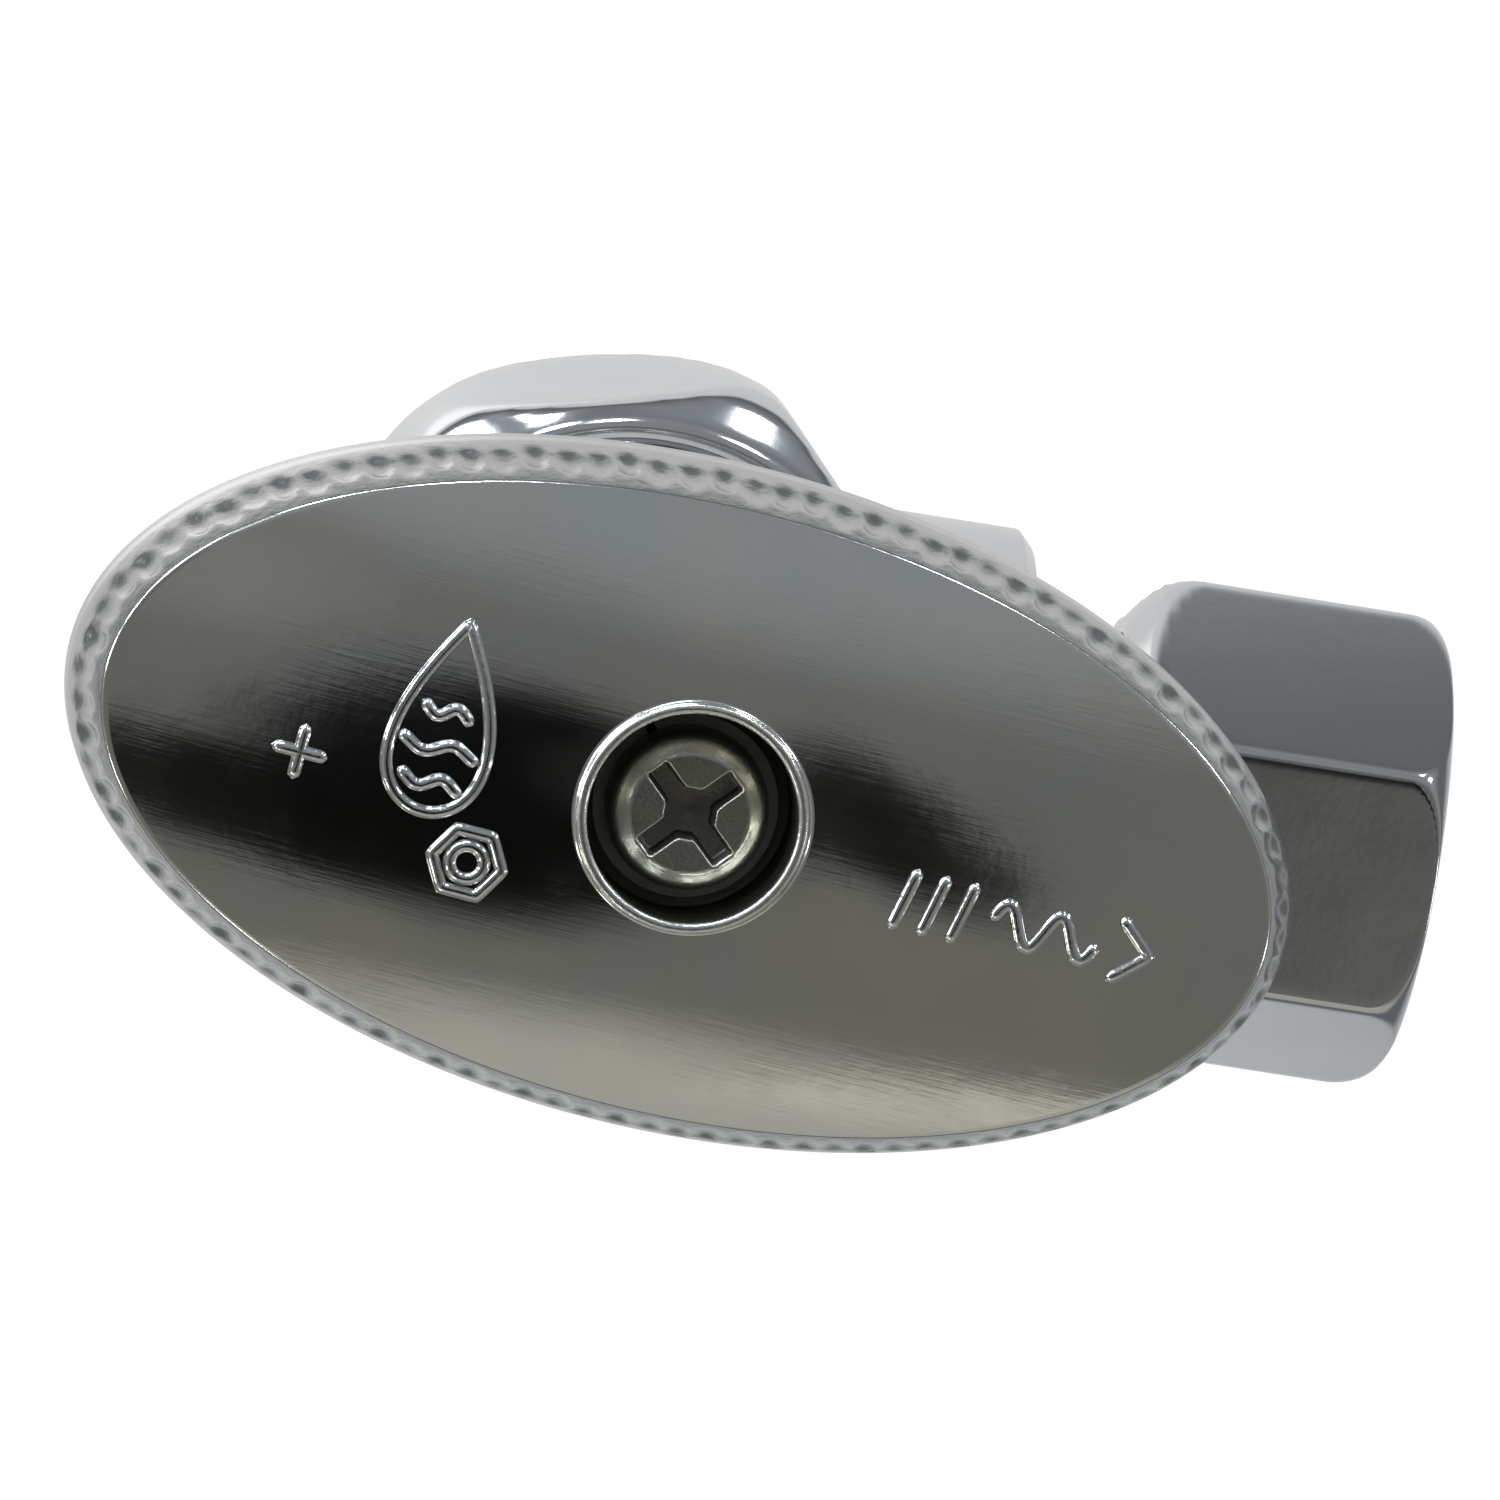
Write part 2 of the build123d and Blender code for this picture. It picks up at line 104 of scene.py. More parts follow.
class Tree:
    # a node tree; make adds any node, and the methods after it are short ways to call it
    def __init__(self, nodeTree):
        self.nodeTree = nodeTree
        nodeTree.nodes.clear()

    def make(self, kind, settings=None, values=None, output=0):
        node = self.nodeTree.nodes.new(kind)
        for name, value in (settings or {}).items():
            if name == "ramp":
                stops = node.color_ramp.elements
                while len(stops) < len(value):
                    stops.new(0.5)
                for stop, (place, colour) in zip(stops, value):
                    stop.position = place
                    stop.color = colour
            else:
                setattr(node, name, value)
        for name, value in (values or {}).items():
            if isinstance(value, Sock):
                self.nodeTree.links.new(value.out, node.inputs[name])
            else:
                node.inputs[name].default_value = value
        return Sock(self, node.outputs[output]) if node.outputs else None

    def place(self, scale=(1, 1, 1), turn=(0, 0, 0)):
        # Object coordinates through a Mapping node
        coords = self.make("ShaderNodeTexCoord", output=3)
        return self.make("ShaderNodeMapping", {}, {"Vector": coords, "Scale": scale, "Rotation": turn})

    def stretched(self, where, scale):
        return self.make("ShaderNodeMapping", {}, {"Vector": where, "Scale": scale})

    def fade(self, value, start, end, first=0.0, last=1.0, smooth=False):
        # first where the value is start, last where it is end
        style = "SMOOTHSTEP" if smooth else "LINEAR"
        return self.make("ShaderNodeMapRange", {"interpolation_type": style}, {
            0: value, 1: start, 2: end, 3: first, 4: last})

    def vectors(self, operation, *pair, output=0):
        return self.make("ShaderNodeVectorMath", {"operation": operation}, dict(enumerate(pair)), output)

    def split(self, vector, axis):
        return self.make("ShaderNodeSeparateXYZ", {}, {0: vector}, axis)

    def noise(self, where, scale, detail=3.0, roughness=0.5):
        return self.make("ShaderNodeTexNoise", {}, {
            "Vector": where, "Scale": scale, "Detail": detail, "Roughness": roughness})

    def ramp(self, value, stops):
        return self.make("ShaderNodeValToRGB", {"ramp": stops}, {"Fac": value})

    def mix(self, share, first, second):
        return self.make("ShaderNodeMix", {"data_type": "RGBA"}, {0: share, 6: first, 7: second}, 2)

    def bump(self, height, strength, distance):
        return self.make("ShaderNodeBump", {}, {
            "Height": height, "Strength": strength, "Distance": distance})


def grey(level):
    return (level, level, level, 1.0)


def newMaterial(name):
    material = bpy.data.materials.new(name)
    material.use_nodes = True
    return material, Tree(material.node_tree)


def finishMaterial(tree, sockets):
    tree.make("ShaderNodeOutputMaterial", {}, {
        "Surface": tree.make("ShaderNodeBsdfPrincipled", {}, sockets)})


chromeLook = {
    "tint": (0.80, 0.81, 0.82, 1), "smoke": (0.70, 0.71, 0.73, 1), "rough": 0.07, "haze": 0.10,
    "cloudScale": 260.0, "pitScale": 2600.0, "waveScale": 140.0, "pitted": 0.15, "bump": 0.14,
    "relief": 0.00006,
}


def chromeMaterial(name, look):
    # mirror plate: cloudy polish marks, fine pits and slightly uneven ground metal under the plate
    material, tree = newMaterial(name)
    cloud = tree.noise(tree.place(), look["cloudScale"], 4.0)
    pits = tree.noise(tree.place(), look["pitScale"], 2.0)
    waves = tree.noise(tree.place(), look["waveScale"], 2.0)
    height = waves * (1 - look["pitted"]) + pits * look["pitted"]
    finishMaterial(tree, {
        "Base Color": tree.mix(cloud, look["tint"], look["smoke"]),
        "Metallic": 1.0,
        "Roughness": cloud ** 2.0 * look["haze"] + look["rough"],
        "Normal": tree.bump(height, look["bump"], look["relief"]),
    })
    return material


handleTurn = -5.3  # degrees off the outlet line
faceLook = {
    "bright": (0.90, 0.885, 0.84, 1), "dull": (0.75, 0.735, 0.68, 1), "cool": (0.74, 0.79, 0.80, 1),
    # the well colour is painted shade for the inside of the screw well
    "well": (0.45, 0.45, 0.40, 1), "rim": (0.62, 0.62, 0.61, 1), "rough": 0.055, "haze": 0.10,
    "rimRough": 0.14, "lipRough": 0.18,
    "streaks": (240.0, 4200.0, 240.0), "fineStreaks": (500.0, 9500.0, 500.0),
    "cloudScale": 170.0, "waveScale": 90.0, "pitScale": 2300.0, "bump": 0.40, "relief": 0.00008,
    "ovalScale": (1 / 0.02413, 1 / 0.01235, 0.0), "lipMiddle": 4.475 * mm, "wellTop": 50.35 * mm,
    "wellEdge": 4.3 * mm,
}


def handleMaterial(look):
    # plated die casting: short brush lines along the oval, cloudy buffing, soft waves, a pitted rim and
    # painted shade in the well
    material, tree = newMaterial("handlePlate")
    straight = tree.place(turn=(0, 0, radians(-handleTurn)))
    lines = tree.noise(tree.stretched(straight, look["streaks"]), 1.0, 4.0, 0.6)
    fine = tree.noise(tree.stretched(straight, look["fineStreaks"]), 1.0, 2.0, 0.6)
    cloud = tree.noise(tree.place(), look["cloudScale"], 5.0, 0.6)
    waves = tree.noise(tree.place(), look["waveScale"], 3.0)
    pits = tree.noise(tree.place(), look["pitScale"], 3.0, 0.6)

    # where the rim, the well's lip and the inside of the well are
    reach = tree.vectors("LENGTH", tree.stretched(straight, look["ovalScale"]), output=1)
    rim = tree.fade(reach, 0.995, 1.01)
    fromAxis = tree.vectors("LENGTH", tree.stretched(straight, (1, 1, 0)), output=1)
    fromLip = (fromAxis - look["lipMiddle"]).math("ABSOLUTE")
    lip = tree.fade(fromLip, 0.2 * mm, 0.32 * mm, 1.0, 0.0)
    cast = rim + lip
    level = tree.split(straight, 2)
    # painted shade: darker down inside the screw well
    wellShade = tree.fade(level, look["wellTop"], look["wellTop"] - 0.8 * mm)
    wellShade = wellShade * tree.fade(fromAxis, look["wellEdge"] + 0.02 * mm, look["wellEdge"] - 0.02 * mm)

    worn = tree.fade(cloud, 0.5, 0.7)
    face = (lines * 0.20 + fine * 0.08) * (worn * 0.7 + 0.3) + waves * 0.62
    height = face * (1 - cast) + (pits * 0.9 + waves * 0.5) * cast
    cool = tree.fade(waves, 0.42, 0.62, 0.0, 0.7)
    tone = tree.mix(cool, tree.mix(cloud, look["bright"], look["dull"]), look["cool"])
    finishMaterial(tree, {
        "Base Color": tree.mix(rim, tree.mix(wellShade, tone, look["well"]), look["rim"]),
        "Metallic": 1.0,
        "Roughness": (
            cloud ** 2.0 * look["haze"] + lines * 0.03 + rim * look["rimRough"] + lip * look["lipRough"]
            + look["rough"]),
        "Normal": tree.bump(height, look["bump"], look["relief"]),
    })
    return material


brassLook = {
    "clean": (0.78, 0.57, 0.27, 1), "aged": (0.48, 0.31, 0.13, 1), "rough": 0.22, "tarnishScale": 420.0,
    "ringScale": 2600.0, "roundScale": 30.0, "bump": 0.3, "relief": 0.00006,
}


def brassMaterial(name, look, turned):
    # machined brass with tool rings around the given axis and a little tarnish
    material, tree = newMaterial(name)
    stretch = [look["ringScale"] if axis == turned else look["roundScale"] for axis in "xyz"]
    rings = tree.noise(tree.place(stretch), 1.0, 2.0, 0.5)
    tarnish = tree.noise(tree.place(), look["tarnishScale"], 5.0, 0.65)
    mask = tree.ramp(tarnish, [(0.42, grey(0)), (0.72, grey(1))])
    finishMaterial(tree, {
        "Base Color": tree.mix(mask, look["clean"], look["aged"]),
        "Metallic": 1.0,
        "Roughness": tarnish * 0.25 + look["rough"],
        "Normal": tree.bump(rings, look["bump"], look["relief"]),
    })
    return material


screwLook = {
    # the third colour is painted shade, laid into the cross recess
    "clean": (0.64, 0.63, 0.56, 1), "aged": (0.36, 0.35, 0.30, 1), "recessShade": (0.10, 0.095, 0.08, 1),
    "rough": 0.23, "patchScale": 900.0, "grainScale": 5200.0, "bump": 0.35, "relief": 0.00007,
    "topHeight": 49.4 * mm, "recessShadeDepth": 0.9 * mm,
}


def screwMaterial(look):
    # nickel-plated steel, faintly olive and dull in patches, with painted shade darkening its recess
    material, tree = newMaterial("screwNickel")
    patch = tree.noise(tree.place(), look["patchScale"], 5.0, 0.6)
    grain = tree.noise(tree.place(), look["grainScale"], 2.0)
    level = tree.split(tree.place(), 2)
    # painted shade: the colour darkens downwards into the cross recess
    recessShade = tree.fade(level, look["topHeight"] - 0.05 * mm, look["topHeight"] - look["recessShadeDepth"])
    metal = tree.mix(patch, look["clean"], look["aged"])
    finishMaterial(tree, {
        "Base Color": tree.mix(recessShade * 0.85, metal, look["recessShade"]),
        "Metallic": 1.0,
        "Roughness": patch * 0.16 + recessShade * 0.12 + look["rough"],
        "Normal": tree.bump(grain + patch, look["bump"], look["relief"]),
    })
    return material


seatLook = {
    "clean": (0.86, 0.86, 0.83, 1), "aged": (0.78, 0.78, 0.75, 1), "rough": 0.38, "haze": 0.15,
    "cloudScale": 500.0, "bump": 0.2, "relief": 0.00005, "glowThrough": 0.15,
}


def polymerMaterial(look):
    # white fluoropolymer: waxy, with faint cloud
    material, tree = newMaterial("seatWhite")
    cloud = tree.noise(tree.place(), look["cloudScale"], 3.0)
    finishMaterial(tree, {
        "Base Color": tree.mix(cloud, look["clean"], look["aged"]),
        "Roughness": cloud * look["haze"] + look["rough"],
        "Normal": tree.bump(cloud, look["bump"], look["relief"]),
        "Subsurface Weight": look["glowThrough"],
        "Subsurface Radius": (mm, mm, mm),
    })
    return material


ringLook = {
    "black": (0.012, 0.012, 0.013, 1), "bloomed": (0.035, 0.035, 0.036, 1), "rough": 0.5, "haze": 0.2,
    "bloomScale": 1800.0, "bump": 0.3, "relief": 0.00005,
}


def rubberMaterial(look):
    # nitrile rubber with a slight bloom
    material, tree = newMaterial("ringBlack")
    bloom = tree.noise(tree.place(), look["bloomScale"], 4.0)
    finishMaterial(tree, {
        "Base Color": tree.mix(bloom, look["black"], look["bloomed"]),
        "Roughness": bloom * look["haze"] + look["rough"],
        "Normal": tree.bump(bloom, look["bump"], look["relief"]),
    })
    return material


plate = chromeMaterial("chromePlate", chromeLook)
plateHandle = handleMaterial(faceLook)
plateMarks = chromeMaterial("markPlate", dict(chromeLook, rough=0.10, pitted=0.5, bump=0.6))
ballPlate = chromeMaterial("ballPlate", dict(chromeLook, rough=0.04, haze=0.04))
brassUpright = brassMaterial("brassUpright", brassLook, "z")
brassOutlet = brassMaterial("brassOutlet", brassLook, "x")
nickel = screwMaterial(screwLook)
polymer = polymerMaterial(seatLook)
rubber = rubberMaterial(ringLook)
print("materials made")


mergeGap = 1e-7  # points nearer than this become one


def toObject(name, bm, material, smooth=True):
    bmesh.ops.recalc_face_normals(bm, faces=bm.faces)
    mesh = bpy.data.meshes.new(name)
    bm.to_mesh(mesh)
    bm.free()
    for polygon in mesh.polygons:
        polygon.use_smooth = smooth
    piece = bpy.data.objects.new(name, mesh)
    bpy.context.scene.collection.objects.link(piece)
    mesh.materials.append(material)
    return piece


def turnAboutStem(bm, verts, degrees):
    bmesh.ops.rotate(bm, verts=verts, cent=(0, 0, 0), matrix=Matrix.Rotation(radians(degrees), 3, "Z"))


def sharedOut(start, end, count):
    return [start + (end - start) * i / count for i in range(count)]


def drawnThrough(bm, rings, closed=False):
    # a circle of points pulled through every ring in turn, each ring a list of places
    slot = bm.verts.layers.int.get("slot") or bm.verts.layers.int.new("slot")
    loop = bmesh.ops.create_circle(bm, segments=len(rings[0]), radius=1.0)["verts"]
    loop.sort(key=lambda v: atan2(v.co.y, v.co.x) % (2 * pi - 1e-6))
    edges = list({edge for vert in loop for edge in vert.link_edges})
    for k, vert in enumerate(loop):
        vert[slot] = k
        vert.co = rings[0][k]
    firstEdges = edges
    for ring in rings[1:]:
        grown = bmesh.ops.extrude_edge_only(bm, edges=edges)["geom"]
        loop = {part for part in grown if isinstance(part, bmesh.types.BMVert)}
        edges = [
            part for part in grown
            if isinstance(part, bmesh.types.BMEdge) and part.verts[0] in loop and part.verts[1] in loop]
        for vert in loop:
            vert.co = ring[vert[slot]]
    if not closed:
        bmesh.ops.edgeloop_fill(bm, edges=firstEdges)
        bmesh.ops.edgeloop_fill(bm, edges=edges)


def roundTurns(count):
    return [2 * pi * i / count for i in range(count)]


def softLeast(values, softness):
    # the smallest value, with the crossings between values rounded off
    least = min(values)
    return least - softness * log(sum(exp((least - value) / softness) for value in values))


# oval handle; its long axis is turned a little off the outlet line
handleSize = {
    "halfLength": 25.4 * mm, "halfWidth": 13.6 * mm, "rimWidth": 1.25 * mm, "rimDrop": 3.2 * mm,
    "crown": 2.0 * mm, "lipRadius": 4.7 * mm, "lipRise": 0.12 * mm, "wellRadius": 4.25 * mm,
    "shellWall": 1.7 * mm, "skirt": 2.1 * mm, "bossRadius": 5.9 * mm, "screwHole": 2.15 * mm,
    "bossDrop": 0.28 * mm, "squareHalf": 2.75 * mm, "socketRadius": 3.55 * mm, "socketMouth": 3.9 * mm,
    "socketGap": 0.05 * mm, "roofInset": 2.8 * mm, "roofRound": 0.7 * mm,
    "stopInner": 8.32 * mm, "stopOuter": 9.72 * mm, "stopFrom": 279.9, "stopSweep": 250.2, "stopSteps": 72,
}
rimLook = {
    "dimples": 96, "stepsPerDimple": 6, "depth": 0.24 * mm, "halfAlong": 0.64 * mm,
    "halfDown": 1.00 * mm, "place": 0.50, "bulge": 0.12 * mm, "edgeRound": 0.06 * mm,
    "uneven": 0.20, "wander": 0.3,
}


def evenTurns(halfLength, halfWidth, count):
    # angles that share an oval's edge out evenly
    fineSteps = 20000
    lengths = [0.0]
    for i in range(fineSteps):
        middle = 2 * pi * (i + 0.5) / fineSteps
        lengths.append(lengths[-1] + sqrt((halfLength * sin(middle))**2 + (halfWidth * cos(middle))**2))
    turns = []
    at = 0
    for k in range(count):
        wanted = lengths[-1] * k / count
        while lengths[at + 1] < wanted:
            at += 1
        share = (wanted - lengths[at]) / (lengths[at + 1] - lengths[at])
        turns.append(2 * pi * (at + share) / fineSteps)
    return turns, lengths[-1] * 2 * pi / fineSteps


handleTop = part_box("handle")[1][2]


def faceHeight(x, y):
    # the crowned face, highest in the middle
    size = handleSize
    a = size["halfLength"] - size["rimWidth"]
    b = size["halfWidth"] - size["rimWidth"]
    return handleTop - size["lipRise"] - size["crown"] * ((x / a)**2 + (y / b)**2)


def makeHandle():
    size = handleSize
    look = rimLook
    top = handleTop
    edge = top - size["lipRise"] - size["crown"]
    rim = edge - size["rimDrop"]
    bottom = rim - size["skirt"]
    roof = edge - size["shellWall"]
    bossBottom = bottom - size["bossDrop"]
    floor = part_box("handle_lock_washer")[0][2]
    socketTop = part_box("stem")[1][2] + size["socketGap"]
    a, b = size["halfLength"], size["halfWidth"]
    turns, around = evenTurns(a, b, look["dimples"] * look["stepsPerDimple"])
    soft = look["edgeRound"]
    slant = sqrt(size["rimWidth"]**2 + size["rimDrop"]**2)

    def ovalRing(inset, height):
        return [((a - inset) * cos(t), (b - inset) * sin(t), height) for t in turns]

    def roundRing(radius, height):
        return [(radius * cos(t), radius * sin(t), height) for t in turns]

    def squareRing(height):
        ring = []
        for t in turns:
            radius = min(size["socketRadius"], size["squareHalf"] / max(abs(cos(t)), abs(sin(t))))
            ring.append((radius * cos(t), radius * sin(t), height))
        return ring

    def faceRing(share):
        # between the lip's circle at 0 and the face's edge at 1
        ring = []
        for t in turns:
            x = cos(t) * (size["lipRadius"] * (1 - share) + (a - size["rimWidth"]) * share)
            y = sin(t) * (size["lipRadius"] * (1 - share) + (b - size["rimWidth"]) * share)
            ring.append((x, y, faceHeight(x, y)))
        return ring

    def bandRing(down):
        # the dimpled bevel, from the face's edge at 0 to the widest line at 1
        ring = []
        for k, t in enumerate(turns):
            dimple, step = divmod(k, look["stepsPerDimple"])
            # every dimple is struck a little deeper, higher or further round than the next
            deeper, higher, further = [look["uneven"] * sin(dimple * rate) for rate in (2.3, 4.1, 1.1)]
            phase = step / look["stepsPerDimple"] - 0.5 + further * look["wander"]
            along = phase * around / look["dimples"] / look["halfAlong"]
            across = (down - look["place"] - higher * look["wander"]) * slant / look["halfDown"]
            sunk = look["depth"] * (1 + deeper) * max(0.0, 1 - along**2 - across**2)
            sunk -= look["bulge"] * sin(pi * down)
            inset = size["rimWidth"] * (1 - down) + sunk * size["rimDrop"] / slant
            height = edge - size["rimDrop"] * down - sunk * size["rimWidth"] / slant
            ring.append(((a - inset) * cos(t), (b - inset) * sin(t), height))
        return ring

    # up the screw hole and the well, over its lip, and out across the face
    well, lip = size["wellRadius"], size["lipRadius"]
    rings = [
        roundRing(size["screwHole"], socketTop), roundRing(size["screwHole"], floor),
        roundRing(well - soft, floor), roundRing(well, floor + soft), roundRing(well, (floor + top) / 2),
        roundRing(well, top - 0.3 * mm),
    ]
    middle, half = (well + lip) / 2, (lip - well) / 2
    for t in sharedOut(0.05 * pi, 0.97 * pi, 9):
        rings.append(roundRing(middle - half * cos(t), top - size["lipRise"] * 1.6 * (1 - sin(t))))
    faceShares = [0.0, 0.012] + sharedOut(0.08, 0.92, 11) + [0.96, 0.985, 0.996]
    rings += [faceRing(share) for share in faceShares]

    # down the dimpled band and the skirt, then back under the shell to the boss and its socket
    rings += [bandRing(down) for down in [0.012, 0.035, 0.09, 0.16] + sharedOut(0.22, 0.78, 14)]
    rings += [bandRing(down) for down in (0.84, 0.9, 0.96)]
    rings += [
        ovalRing(0, rim - 0.05 * mm), ovalRing(0, rim - 0.5 * mm), ovalRing(0, bottom + 0.4 * mm),
        ovalRing(0.12 * mm, bottom + 0.1 * mm), ovalRing(0.35 * mm, bottom),
        ovalRing(1.4 * mm, bottom), ovalRing(1.62 * mm, bottom + 0.12 * mm),
        ovalRing(1.7 * mm, bottom + 0.5 * mm), ovalRing(1.8 * mm, roof - 0.9 * mm),
        ovalRing(2.1 * mm, roof - 0.25 * mm), ovalRing(size["roofInset"], roof),
    ]
    boss = size["bossRadius"]
    inner = boss + size["roofRound"]
    for share in (0.75, 0.5, 0.25):
        rings.append([
            (cos(t) * (inner * (1 - share) + (a - size["roofInset"]) * share),
             sin(t) * (inner * (1 - share) + (b - size["roofInset"]) * share), roof) for t in turns])
    rings += [
        roundRing(boss + 0.5 * mm, roof), roundRing(boss + 0.12 * mm, roof - 0.12 * mm),
        roundRing(boss, roof - 0.5 * mm), roundRing(boss, bossBottom + 0.3 * mm),
        roundRing(boss - 0.3 * mm, bossBottom), roundRing(size["socketMouth"], bossBottom),
        squareRing(bossBottom + 0.2 * mm), squareRing(socketTop), rings[0],
    ]
    bm = bmesh.new()
    drawnThrough(bm, rings, closed=True)
    bmesh.ops.remove_doubles(bm, verts=bm.verts, dist=mergeGap)

    # part ring under the shell whose ends meet the body's stop lug
    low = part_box("handle")[0][2]
    inner, outer = size["stopInner"], size["stopOuter"]
    high = roof + 0.2 * mm
    corners = [
        bm.verts.new((radius, 0, height))
        for radius, height in ((inner, low), (outer, low), (outer, high), (inner, high))]
    end = bm.faces.new(corners)
    turnAboutStem(bm, corners, size["stopFrom"])
    bmesh.ops.spin(
        bm, geom=[end], cent=(0, 0, 0), axis=(0, 0, 1), angle=radians(size["stopSweep"]),
        steps=size["stopSteps"], use_duplicate=False)
    turnAboutStem(bm, bm.verts, handleTurn)
    piece = toObject("handlePlate", bm, plateHandle)
    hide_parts("handle")
    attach(piece, "handle")
    return piece


handlePiece = makeHandle()
print("handle made with", len(handlePiece.data.polygons), "faces")


# handle screw, seen down the well
screwSize = {
    "head": 3.3 * mm, "flat": 2.5 * mm, "core": 1.58 * mm, "crest": 2.0 * mm, "pitch": 0.7 * mm,
    "armHalf": 0.48 * mm, "armEnd": 2.30 * mm, "hub": 1.02 * mm, "hubDepth": 1.45 * mm,
    "armDepth": 0.95 * mm, "wall": 0.13 * mm, "shoulder": 0.75 * mm, "tip": 0.04 * mm, "crossTurn": 44.7,
    "steps": 240,
}


def recessDepth(x, y):
    # cross recess: four arms that run shallower outwards, round a deeper hub
    size = screwSize
    reach = sqrt(x * x + y * y)
    arms = []
    for along, across in ((x, y), (y, x)):
        arms.append(softLeast((size["armHalf"] - abs(across), size["armEnd"] - abs(along)), 0.05 * mm))
    inside = -softLeast((-arms[0], -arms[1], reach - size["hub"]), 0.07 * mm)
    share = min(1.0, max(0.0, inside / size["wall"] + 0.2))
    share = share * share * (3 - 2 * share)
    depth = size["armDepth"] + (size["hubDepth"] - size["armDepth"]) * max(0.0, 1 - reach / size["armEnd"])
    return depth * share


def makeScrew():
    size = screwSize
    low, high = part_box("handle_screw")
    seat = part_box("handle_lock_washer")[1][2]
    top = high.z
    turns = roundTurns(size["steps"])
    rings = []
    for radius in [size["tip"]] + sharedOut(0.15 * mm, size["flat"] - 0.12 * mm, 38):
        ring = []
        for t in turns:
            x, y = radius * cos(t), radius * sin(t)
            ring.append((x, y, top - recessDepth(x, y)))
        rings.append(ring)

    def plainRing(radius, height):
        return [(radius * cos(t), radius * sin(t), height) for t in turns]

    rings += [
        plainRing(size["flat"] - 0.04 * mm, top - 0.02 * mm),
        plainRing(size["flat"] + 0.03 * mm, top - 0.08 * mm)]
    shoulder = seat + size["shoulder"]
    for share in sharedOut(0.12, 1.0, 8):
        radius = size["flat"] + (size["head"] - size["flat"]) * sin(share * pi / 2)
        rings.append(plainRing(radius, shoulder + (top - 0.15 * mm - shoulder) * cos(share * pi / 2)))
    rings += [
        plainRing(size["head"], seat + 0.1 * mm), plainRing(size["head"] - 0.1 * mm, seat),
        plainRing(size["core"] + 0.1 * mm, seat), plainRing(size["core"], seat - 0.1 * mm)]
    count = int((seat - low.z - 0.6 * mm) / size["pitch"])
    for turn in range(count):
        foot = seat - 0.35 * mm - turn * size["pitch"]
        rings += [
            plainRing(size["core"], foot),
            plainRing(size["crest"], foot - 0.30 * size["pitch"]),
            plainRing(size["crest"], foot - 0.42 * size["pitch"]),
            plainRing(size["core"], foot - 0.72 * size["pitch"])]
    rings += [plainRing(size["core"] - 0.2 * mm, low.z), plainRing(size["tip"], low.z)]
    bm = bmesh.new()
    drawnThrough(bm, rings)
    turnAboutStem(bm, bm.verts, size["crossTurn"])
    piece = toObject("handleScrew", bm, nickel)
    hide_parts("handle_screw")
    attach(piece, "handle")
    return piece


screwPiece = makeScrew()
print("screw made with", len(screwPiece.data.polygons), "faces")


# raised marks on the face, each placed by x, y and size
markLook = {
    "bead": 0.27 * mm, "proud": 0.85, "sides": 10, "step": 0.16 * mm,
    "drop": (-10.6 * mm, 1.3 * mm, 3.3 * mm), "plus": (-15.9 * mm, -1.35 * mm, 1.15 * mm),
    "nut": (-8.3 * mm, -4.0 * mm, 1.45 * mm), "arrow": (8.9 * mm, -1.1 * mm, 10.6 * mm),
}


def evenPath(points, step):
    # the same path with points a step apart
    lengths = [0.0]
    for first, second in zip(points, points[1:]):
        lengths.append(lengths[-1] + (Vector(second) - Vector(first)).length)
    count = max(2, int(lengths[-1] / step))
    path = []
    at = 0
    for k in range(count + 1):
        wanted = lengths[-1] * k / count
        while at < len(points) - 2 and lengths[at + 1] < wanted:
            at += 1
        share = (wanted - lengths[at]) / (lengths[at + 1] - lengths[at])
        path.append(Vector(points[at]).lerp(Vector(points[at + 1]), share))
    return path


def beadRings(path, looped):
    # sections across a path on the face, thinning to a point at open ends
    look = markLook
    rings = []
    last = len(path) - 1
    for k, spot in enumerate(path):
        before = path[k - 1] if k else (path[last - 1] if looped else spot)
        after = path[k + 1] if k < last else (path[1] if looped else spot)
        ahead = (after - before).normalized()
        side = Vector((-ahead.y, ahead.x))
        size = look["bead"]
        if not looped:
            near = min(k, last - k) * look["step"] / look["bead"]
            size *= sqrt(max(0.02, 1 - max(0.0, 1 - near)**2))
        ring = []
        for t in roundTurns(look["sides"]):
            place = spot + side * size * cos(t)
            ring.append((place.x, place.y, faceHeight(place.x, place.y) + size * look["proud"] * sin(t)))
        rings.append(ring)
    return rings


